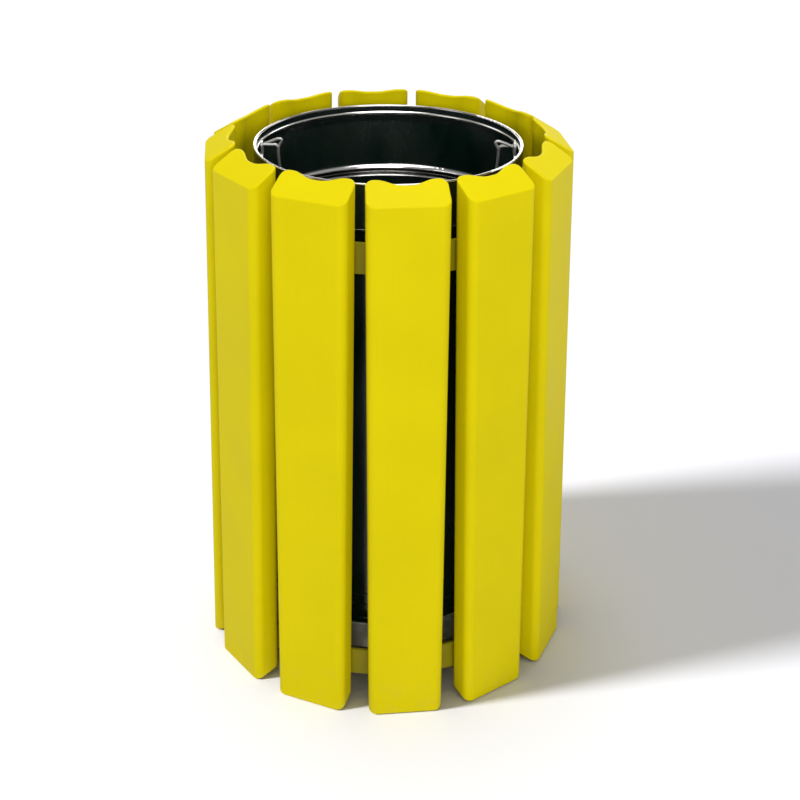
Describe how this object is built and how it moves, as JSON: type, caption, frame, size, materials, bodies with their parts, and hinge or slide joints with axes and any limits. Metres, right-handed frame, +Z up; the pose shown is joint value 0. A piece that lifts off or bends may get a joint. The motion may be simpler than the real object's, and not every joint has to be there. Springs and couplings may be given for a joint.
{
  "type": "litter bin",
  "caption": "Round street litter bin of upright slats on two hoops, with a lift-out steel liner that has a rolled rim and a wire bail.",
  "frame": {"origin": "on the ground at the centre of the bin", "axes": "+Z up; the first slat faces -Y; the bail's axis is 6 degrees off +X"},
  "size_m": [0.5278, 0.5278, 0.7507],
  "materials": {
    "slat_plastic": "satin through-coloured plastic with faint extrusion lines",
    "hoop_paint": "satin yellow powder coat",
    "liner_enamel": "gloss dark green-black enamel",
    "bright_steel": "polished",
    "galvanised": "dull zinc grey",
    "fasteners": "zinc plated"
  },
  "bodies": {
    "stand": {"slat_01": "slat_plastic", "slat_02": "slat_plastic", "slat_03": "slat_plastic", "slat_04": "slat_plastic", "slat_05": "slat_plastic", "slat_06": "slat_plastic", "slat_07": "slat_plastic", "slat_08": "slat_plastic", "slat_09": "slat_plastic", "slat_10": "slat_plastic", "slat_11": "slat_plastic", "slat_12": "slat_plastic", "upper_hoop": "hoop_paint", "lower_hoop": "hoop_paint", "upper_hoop_screws": "fasteners", "lower_hoop_screws": "fasteners", "base_bar": "galvanised", "base_arm_left": "galvanised", "base_arm_right": "galvanised", "foot_bracket_1": "galvanised", "foot_bracket_2": "galvanised", "foot_bracket_3": "galvanised", "foot_bracket_4": "galvanised", "foot_bolts": "fasteners", "foot_nuts": "fasteners"},
    "liner": {"liner_wall": "liner_enamel", "liner_rim": "bright_steel", "liner_inner_ring": "bright_steel", "liner_floor": "liner_enamel", "liner_foot_ring": "galvanised", "bail_ear_left": "bright_steel", "bail_ear_right": "bright_steel", "ear_rivets": "fasteners"},
    "bail": {"bail": "bright_steel"}
  },
  "joints": [
    {"name": "liner_lift", "type": "slide", "parent": "stand", "child": "liner", "axis": [0, 0, 1], "range_m": [0, 0.72]},
    {"name": "bail_swing", "type": "hinge", "parent": "liner", "child": "bail", "pos_m": [0, 0, 0.73], "axis": [0.9945, -0.1045, 0], "range_deg": [-180, 180]}
  ]
}
